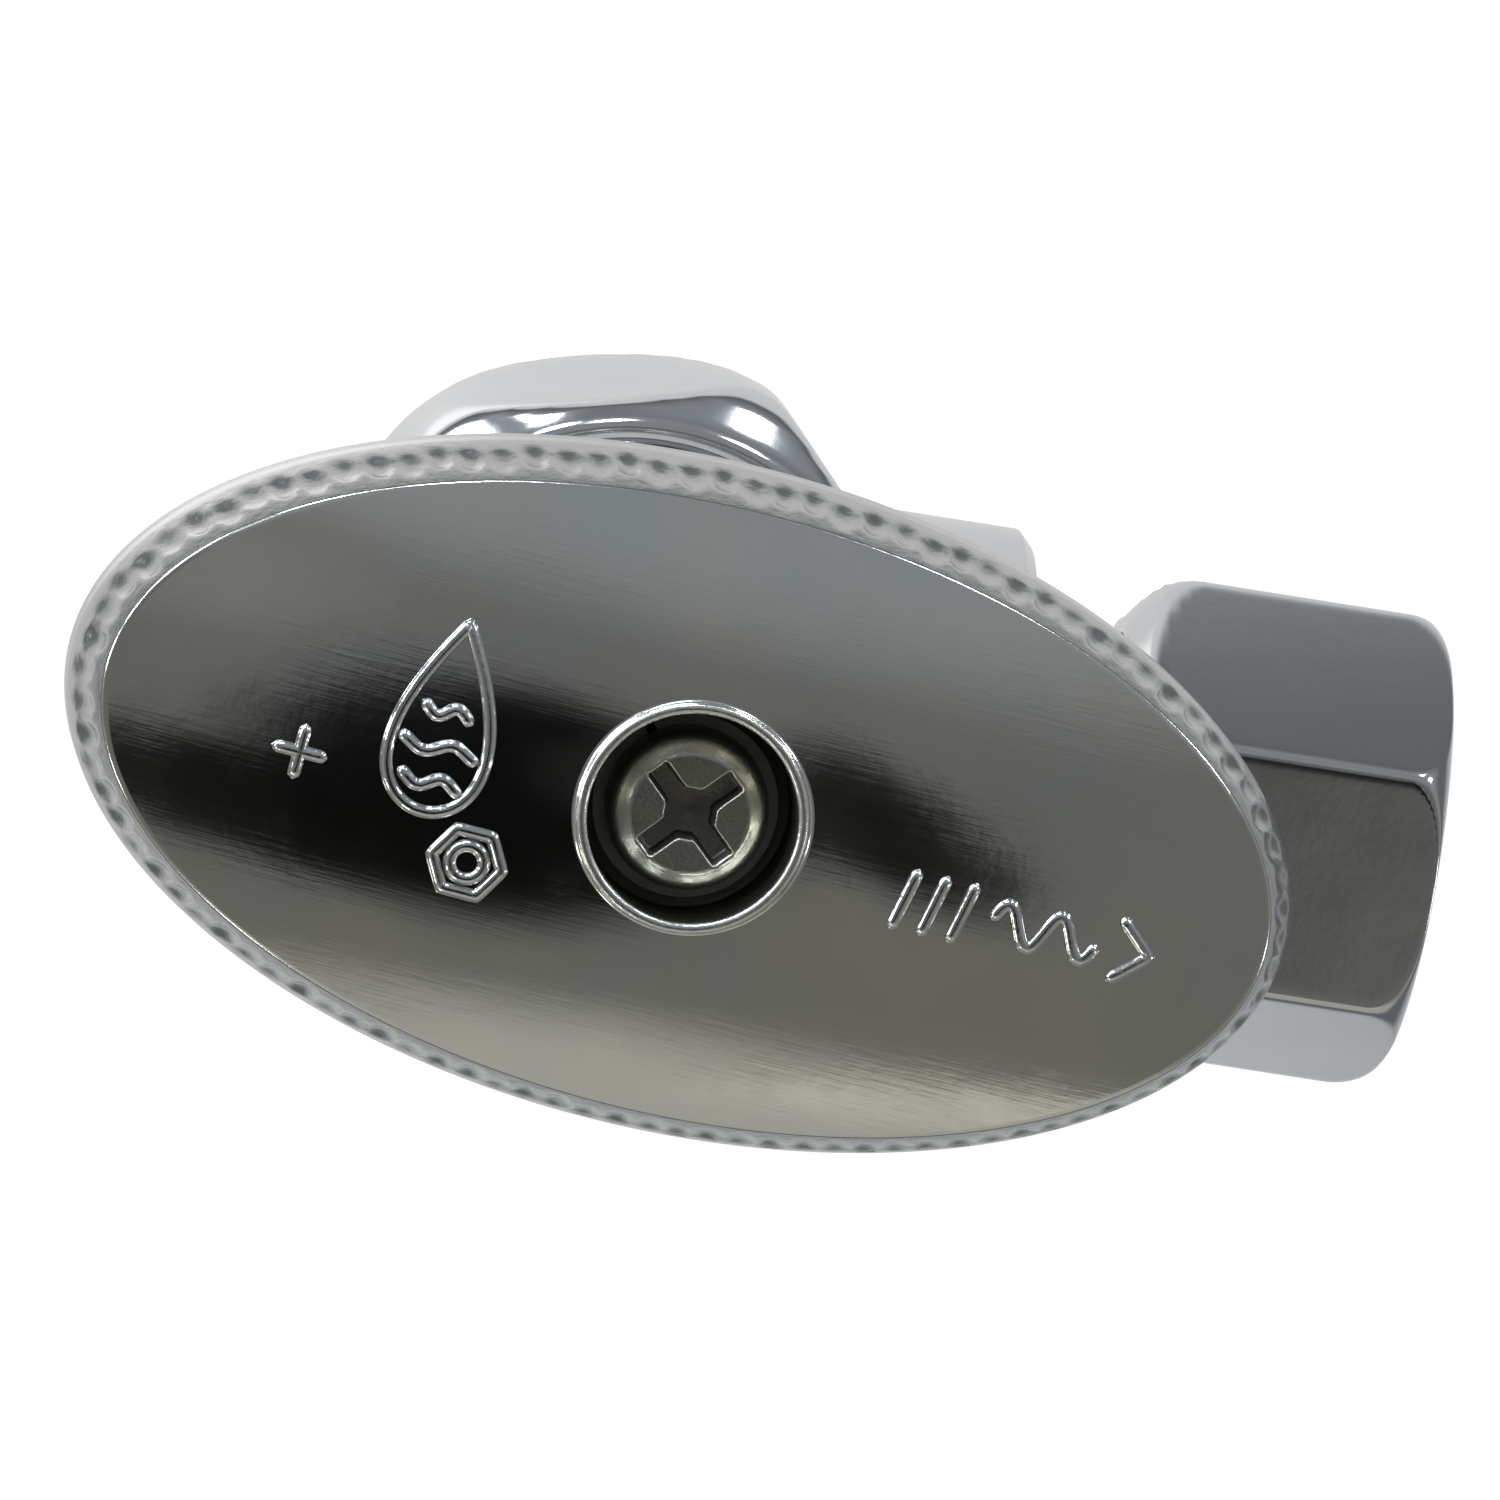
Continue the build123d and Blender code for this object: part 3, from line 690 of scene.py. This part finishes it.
def markPaths():
    look = markLook
    paths = []
    # water drop, tip up, with three wave bars across it
    x, y, size = look["drop"]
    outline = []
    for t in roundTurns(72):
        wide = 0.80 * size * sin(t) * sin(t / 2)**1.1
        outline.append((x + wide, y + size * (cos(t) * 1.18 + 0.05)))
    paths.append((outline + [outline[0]], True))
    for level, half in ((0.12, 0.34), (-0.33, 0.52), (-0.76, 0.42)):
        wave = []
        for i in range(31):
            share = i / 15 - 1
            wave.append((x + size * half * share, y + size * (level + 0.07 * sin(share * pi * 1.5))))
        paths.append((wave, False))
    # plus sign
    x, y, size = look["plus"]
    paths.append(([(x - size, y), (x + size, y)], False))
    paths.append(([(x, y - size), (x, y + size)], False))
    # nut outline with its bore
    x, y, size = look["nut"]
    for sides, reach in ((6, 1.0), (24, 0.48)):
        ring = [(x + size * reach * cos(t), y + size * reach * sin(t)) for t in roundTurns(sides)]
        paths.append((ring + [ring[0]], True))
    # flow arrow: three slanted strokes, a wave and an arrow head
    x, y, size = look["arrow"]
    for i in range(3):
        at = x + i * size * 0.115
        paths.append(([(at, y - size * 0.125), (at + size * 0.05, y + size * 0.125)], False))
    start = x + size * 0.37
    wave = []
    for i in range(61):
        share = i / 60
        wave.append((start + size * 0.42 * share, y + size * 0.075 * sin(share * 4 * pi)))
    paths.append((wave, False))
    tip = x + size
    paths.append((
        [(tip - size * 0.14, y + size * 0.125), (tip, y), (tip - size * 0.14, y - size * 0.125)], False))
    return paths


def makeMarks():
    bm = bmesh.new()
    for points, looped in markPaths():
        rings = beadRings(evenPath(points, markLook["step"]), looped)
        drawnThrough(bm, rings, closed=looped)
    bmesh.ops.remove_doubles(bm, verts=bm.verts, dist=mergeGap)
    turnAboutStem(bm, bm.verts, handleTurn)
    piece = toObject("faceMarks", bm, plateMarks)
    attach(piece, "handle")
    return piece


marksPiece = makeMarks()
print("marks made with", len(marksPiece.data.polygons), "faces")


# compression nuts: radii and lengths, and the corners' angle in degrees
inletNut = {
    "node": "inlet_nut", "piece": "inletNutPlate", "length": 18.0 * mm, "side": 12.17 * mm,
    "corner": 13.55 * mm, "cornerAngle": 13.0, "cornerSoft": 0.36 * mm, "edgeSoft": 0.16 * mm,
    "endRim": 2.4 * mm, "dome": 14.0 * mm, "wall": 3.0 * mm, "bore": 8.0475 * mm,
    "threadBore": 10.40 * mm, "groove": 10.82 * mm, "pitch": 1.411 * mm,
}
outletNut = {
    "node": "outlet_nut", "piece": "outletNutPlate", "length": 13.4 * mm, "side": 8.731 * mm,
    "corner": 10.03 * mm, "cornerAngle": 3.0, "cornerSoft": 0.05 * mm, "edgeSoft": 0.05 * mm,
    "endRim": 0.35 * mm, "dome": 1.9 * mm, "wall": 2.4 * mm, "bore": 4.8725 * mm,
    "threadBore": 7.225 * mm, "groove": 7.54 * mm, "pitch": 1.058 * mm,
}
nutSteps = 360
nutShoulder = 2.0 * mm
domeShares = (0.0, 0.004, 0.012, 0.03, 0.055, 0.085, 0.12, 0.17, 0.23, 0.3, 0.38, 0.48, 0.6, 0.74, 0.88, 1.0)


def nutProfile(size):
    # limit radius and height all the way round the section, from the bore of the outer end
    corner = size["corner"]
    endRadius = size["side"] - size["endRim"]
    length = size["length"]
    bore, threadBore, groove = size["bore"], size["threadBore"], size["groove"]
    points = [
        (bore, 0.3 * mm), (bore + 0.08 * mm, 0.08 * mm), (bore + 0.3 * mm, 0), (endRadius - 0.25 * mm, 0)]
    for share in domeShares:
        bulge = sqrt(1 - (1 - share)**2)
        points.append((endRadius + (corner - endRadius) * bulge, share * size["dome"] + 0.01 * mm))
    straight = length - nutShoulder - 1.0 * mm - size["dome"]
    if straight > 1.0 * mm:
        points += [(corner, size["dome"] + straight * share) for share in (0.2, 0.6, 1.0)]

    # large chamfer on the side of the body, as radius and drop from that end
    shoulder = [
        (corner, nutShoulder + 0.85 * mm), (corner - 0.06 * mm, nutShoulder + 0.45 * mm),
        (corner - 0.22 * mm, nutShoulder), (corner - 0.5 * mm, nutShoulder - 0.5 * mm),
        (corner - 0.875 * mm, nutShoulder - 0.8 * mm), (corner - 1.25 * mm, nutShoulder - 1.1 * mm),
        (corner - 1.625 * mm, nutShoulder - 1.4 * mm), (corner - nutShoulder, 0.3 * mm),
        (corner - nutShoulder - 0.16 * mm, 0.10 * mm), (corner - nutShoulder - 0.4 * mm, 0.0),
    ]
    points += [(radius, length - drop) for radius, drop in shoulder]
    points += [(threadBore + 0.12 * mm, length), (threadBore, length - 0.12 * mm)]

    # thread grooves from the mouth inwards, then the cone and pocket that hold the ferrule
    coneTop = size["wall"] + threadBore - bore - 0.8 * mm
    turns = int((length - 1.0 * mm - coneTop) / size["pitch"])
    for turn in range(turns):
        foot = length - 0.8 * mm - turn * size["pitch"]
        points += [
            (threadBore, foot), (groove, foot - 0.32 * size["pitch"]), (groove, foot - 0.44 * size["pitch"]),
            (threadBore, foot - 0.76 * size["pitch"])]
    points += [
        (threadBore, coneTop + 0.5 * mm), (threadBore - 0.4 * mm, coneTop), (bore + 0.4 * mm, size["wall"]),
        (bore + 0.4 * mm, size["wall"] - 0.4 * mm), (bore, size["wall"] - 0.4 * mm)]
    return points


def nutRings(size):
    flats = [radians(size["cornerAngle"] + 30 + 60 * i) for i in range(6)]
    hexagon = []
    for t in roundTurns(nutSteps):
        reaches = [size["side"] / cos(t - flat) for flat in flats if cos(t - flat) > 0.3]
        hexagon.append(softLeast(reaches, size["cornerSoft"]))
    rings = []
    for limit, height in nutProfile(size):
        ring = []
        for t, reach in zip(roundTurns(nutSteps), hexagon):
            radius = limit if limit < reach - 1.2 * mm else softLeast((reach, limit), size["edgeSoft"])
            ring.append((radius * cos(t), radius * sin(t), height))
        rings.append(ring)
    return rings


def makeNut(size, outward):
    # outward takes the nut from its own axis, outer end at 0, to its place in the object
    bm = bmesh.new()
    rings = nutRings(size)
    drawnThrough(bm, rings + [rings[0]], closed=True)
    bmesh.ops.remove_doubles(bm, verts=bm.verts, dist=mergeGap)
    bmesh.ops.transform(bm, matrix=outward, verts=bm.verts)
    piece = toObject(size["piece"], bm, plate)
    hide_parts(size["node"])
    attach(piece, size["node"])
    return piece


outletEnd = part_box("outlet_nut")[1][0]
outletHeight = (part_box("outlet_ferrule")[0][2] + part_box("outlet_ferrule")[1][2]) / 2
# the outlet nut's axis points back along -X, its X lies along Y and its Y up along Z
toOutlet = Matrix(((0, 0, -1, outletEnd), (1, 0, 0, 0), (0, 1, 0, outletHeight), (0, 0, 0, 1)))
inletNutPiece = makeNut(inletNut, Matrix.Identity(4))
outletNutPiece = makeNut(outletNut, toOutlet)
nutFaces = [len(piece.data.polygons) for piece in (inletNutPiece, outletNutPiece)]
print("nuts made with", nutFaces[0], "and", nutFaces[1], "faces")


# finishes on the parts that keep their own shape
finishes = {
    "valve_body": plate, "handle_lock_washer": nickel, "ball": ballPlate,
    "stem": brassUpright, "packing_nut": brassUpright, "seat_retainer": brassUpright,
    "inlet_ferrule": brassUpright, "outlet_ferrule": brassOutlet, "lower_ball_seat": polymer,
    "upper_ball_seat": polymer, "stem_packing": polymer, "stem_thrust_washer": polymer,
    "stem_o_ring": rubber, "retainer_o_ring": rubber,
}
for nodeName, material in finishes.items():
    node = cadNodes[nodeName]
    node.data.materials.clear()
    node.data.materials.append(material)
print("finishes laid on", len(finishes), "parts")


# the camera looks almost straight down on the handle from far off
cameraLook = {
    "aim": (1.8 * mm, 3.1 * mm, 50.5 * mm), "away": (-0.1164, 0.1440, 0.9827),
    "up": (-0.1531, 0.9750, -0.1610), "distance": 739.4 * mm, "lens": 443.5,
}


def makeCamera(look):
    data = bpy.data.cameras.new("camera")
    data.lens = look["lens"]
    data.sensor_width = 36.0
    data.clip_start = 0.05
    camera = bpy.data.objects.new("camera", data)
    bpy.context.scene.collection.objects.link(camera)
    away = Vector(look["away"]).normalized()
    right = Vector(look["up"]).cross(away).normalized()
    up = away.cross(right)
    spot = Vector(look["aim"]) + away * look["distance"]
    turned = Matrix((right, up, away)).transposed().to_4x4()
    camera.matrix_world = Matrix.Translation(spot) @ turned
    bpy.context.scene.camera = camera


makeCamera(cameraLook)


# brightness of the room from overhead down, and its tint
roomLook = {
    "zenith": 0.15, "middle": 0.27, "horizon": 0.20, "drift": 0.10,
    "warm": (1.0, 0.98, 0.89, 1), "cool": (0.90, 0.97, 1.03, 1),
}
# dark and light things overhead: east, north, half-widths, turn, brightness, edge softness
patches = [
    (0.10, 0.52, 0.70, 0.26, -8.0, 0.28, 0.9),
    (0.10, -0.88, 0.80, 0.30, 6.0, 0.40, 0.4),
    (0.28, -0.57, 0.20, 0.022, 27.0, 0.55, 0.7),
    (0.38, -0.20, 0.16, 0.26, 0.0, 0.15, 0.9),
    (-0.20, 0.14, 0.14, 0.10, 30.0, 0.20, 0.9),
    (-0.14, -0.32, 0.15, 0.12, -15.0, 0.008, 0.5),
    (-0.02, -0.20, 0.155, 0.26, -12.0, 0.003, 0.4),
    (0.238, -0.08, 0.062, 0.17, 14.0, 0.006, 0.5),
    (0.12, -0.12, 0.10, 0.11, 0.0, 0.018, 0.6),
]
# lamps: direction, half-angle in degrees and brightness
lamps = [
    ((-0.70, 0.62, 0.30), 9.0, 9.0), ((-0.35, 0.90, 0.30), 3.4, 26.0), ((-0.12, 0.93, 0.42), 3.4, 24.0),
    ((0.42, 0.86, 0.36), 3.2, 26.0), ((0.75, 0.55, 0.36), 3.2, 24.0), ((-0.95, 0.05, 0.32), 4.5, 18.0),
    ((-0.88, 0.36, 0.40), 3.4, 24.0), ((-0.70, -0.60, 0.40), 3.0, 12.0), ((-0.30, -0.80, 0.55), 2.4, 10.0),
    ((0.90, -0.20, 0.38), 2.4, 14.0), ((-0.35, 0.58, 0.74), 2.0, 6.0),
]


def makeRoom():
    world = bpy.data.worlds.new("room")
    bpy.context.scene.world = world
    world.use_nodes = True
    tree = Tree(world.node_tree)
    way = tree.make("ShaderNodeTexCoord")
    drift = tree.make("ShaderNodeTexNoise", {}, {"Vector": way, "Scale": 3.0, "Detail": 3.0}, 1)
    nudged = tree.vectors("MULTIPLY_ADD", drift, (roomLook["drift"], roomLook["drift"], 0.0), way)
    moved = tree.vectors("SUBTRACT", nudged, (roomLook["drift"] / 2, roomLook["drift"] / 2, 0.0))
    east, north = tree.split(moved, 0), tree.split(moved, 1)
    height = tree.split(way, 2)
    light = tree.fade(height, 0.0, 0.25, roomLook["horizon"], roomLook["middle"], smooth=True)
    dimmer = roomLook["middle"] - roomLook["zenith"]
    light = light - tree.fade(height, 0.5, 0.85, 0.0, dimmer, smooth=True)
    for eastAt, northAt, eastHalf, northHalf, turn, level, edge in patches:
        cosTurn, sinTurn = cos(radians(turn)), sin(radians(turn))
        along = ((east - eastAt) * cosTurn + (north - northAt) * sinTurn) / eastHalf
        across = ((north - northAt) * cosTurn - (east - eastAt) * sinTurn) / northHalf
        reach = along * along + across * across
        share = tree.fade(reach, 1 - edge, 1 + edge, 1.0, 0.0, smooth=True)
        share = share * tree.fade(height, 0.05, 0.3)
        light = light * (1 - share) + share * level
    for direction, half, level in lamps:
        near = tree.vectors("DOT_PRODUCT", way, Vector(direction).normalized(), output=1)
        light = light + tree.fade(
            near, cos(radians(half * 1.5)), cos(radians(half)), 0.0, level, smooth=True)
    tint = tree.mix(tree.fade(north, -0.4, 0.5), roomLook["warm"], roomLook["cool"])
    tree.make("ShaderNodeOutputWorld", {}, {
        "Surface": tree.make("ShaderNodeBackground", {}, {"Color": tint, "Strength": light})})


# brightness of the floor near the valve and far from it
floorLook = {
    "seen": 0.96, "near": 0.62, "far": 0.085, "nearRadius": 45 * mm, "farRadius": 135 * mm,
    "farTint": (0.90, 0.97, 1.02, 1), "lightest": (-15 * mm, 20 * mm, 0),
    "glowAt": (-30 * mm, 27 * mm, 0), "glowRadius": 30 * mm, "glow": 0.55,
    "radius": 3.0, "segments": 96, "gap": 0.05 * mm,
}


def makeFloor(look):
    bm = bmesh.new()
    bmesh.ops.create_circle(bm, cap_ends=True, segments=look["segments"], radius=look["radius"])
    material, tree = newMaterial("floorGlow")
    where = tree.make("ShaderNodeTexCoord", output=3)
    reach = tree.vectors("DISTANCE", where, look["lightest"], output=1)
    outwards = tree.fade(reach, look["nearRadius"], look["farRadius"])
    tint = tree.mix(outwards, (1, 1, 1, 1), look["farTint"])
    level = tree.fade(reach, look["nearRadius"], look["farRadius"], look["near"], look["far"], smooth=True)
    fromGlow = tree.vectors("DISTANCE", where, look["glowAt"], output=1)
    level = level + tree.fade(
        fromGlow, look["glowRadius"] * 0.3, look["glowRadius"], look["glow"], 0.0, smooth=True)

    # the camera sees it plain and pale; the plating reflects it as painted light, a glow near the valve that
    # fades outwards
    seen = tree.make("ShaderNodeLightPath")
    strength = level * (1 - seen) + seen * look["seen"]
    colour = tree.mix(seen, tint, (1, 1, 1, 1))
    tree.make("ShaderNodeOutputMaterial", {}, {"Surface": tree.make("ShaderNodeAddShader", {}, {
        0: tree.make("ShaderNodeEmission", {}, {"Color": colour, "Strength": strength}),
        1: tree.make("ShaderNodeBsdfDiffuse", {}, {"Color": grey(0.10)})})})
    floor = toObject("floor", bm, material, smooth=False)
    floor.data.transform(Matrix.Translation((0, 0, cadBox[0][2] - look["gap"])))


makeRoom()
makeFloor(floorLook)
bpy.context.scene.view_settings.view_transform = "Standard"
print("camera, room and floor set")
